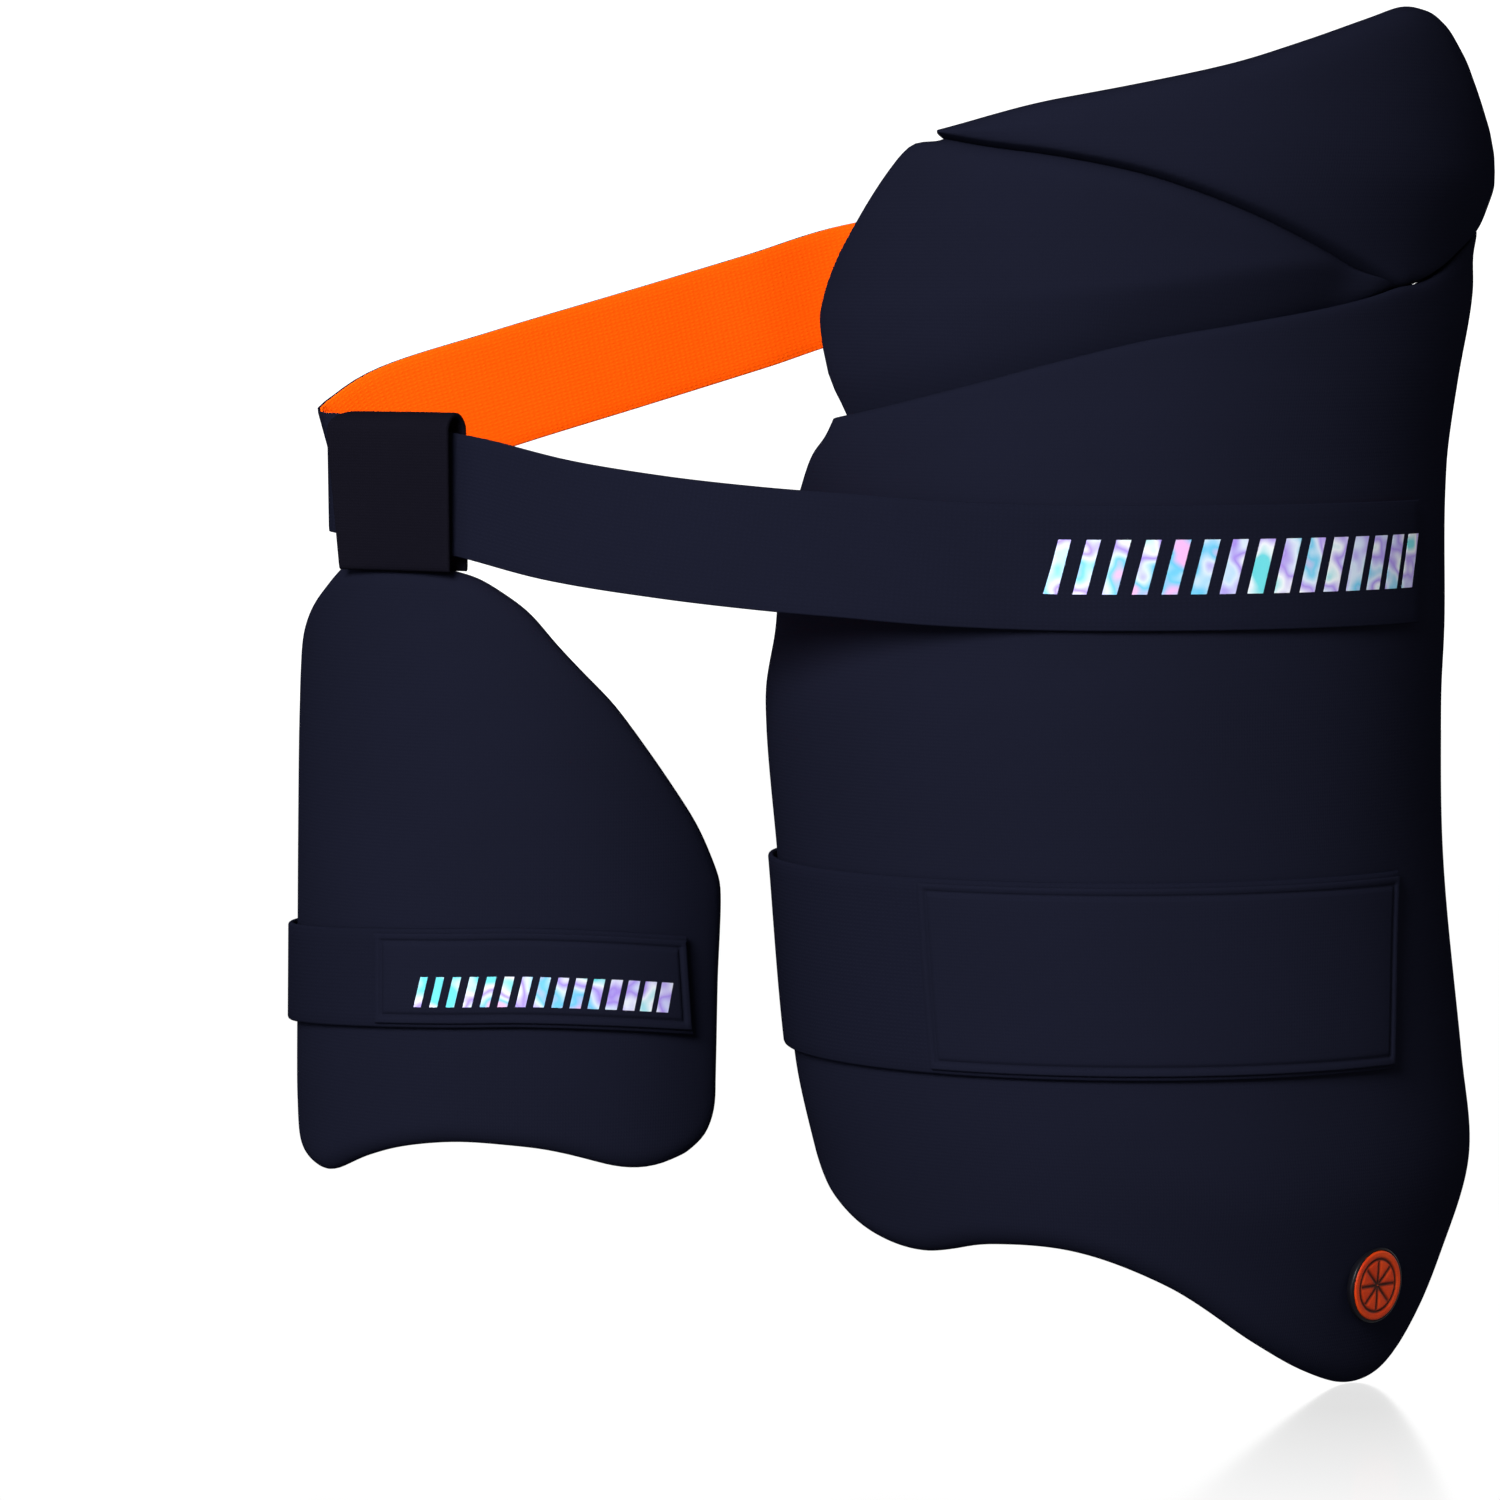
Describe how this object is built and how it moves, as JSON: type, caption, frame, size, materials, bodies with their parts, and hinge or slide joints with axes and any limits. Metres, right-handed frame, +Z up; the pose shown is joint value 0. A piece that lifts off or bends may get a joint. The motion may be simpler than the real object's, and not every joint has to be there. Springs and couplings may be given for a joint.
{
  "type": "cricket thigh guard",
  "caption": "Padded thigh guard set: a large outer guard and a small inner guard hung on one waist belt, each with an elastic thigh strap, held open as worn.",
  "frame": {"origin": "the centre of the wearer's waist, where the belt and the body inside it hold the set up", "axes": "+X to the viewer's right, towards the large guard's hip side; +Y away from the viewer, towards the wearer's back; +Z up"},
  "size_m": [0.3846, 0.2502, 0.4273],
  "materials": {
    "navy_fabric": "smooth knitted cover over foam, matt",
    "navy_webbing": "elastic webbing, matt",
    "orange_webbing": "brushed elastic webbing, matt",
    "dark_fabric": "plain woven fabric, matt",
    "black_rubber": "moulded, satin",
    "orange_rubber": "moulded, satin"
  },
  "bodies": {
    "root": {"thigh_panel": "navy_fabric", "waist_panel": "navy_fabric", "hip_flap": "navy_fabric", "inner_pad": "navy_fabric", "waist_belt": "navy_webbing", "belt_lining": "orange_webbing", "thigh_strap": "navy_webbing", "thigh_strap_tab": "navy_fabric", "inner_strap": "navy_webbing", "inner_strap_tab": "navy_fabric", "belt_loop": "dark_fabric", "badge_dish": "black_rubber", "badge_emblem": "orange_rubber"}
  },
  "joints": []
}
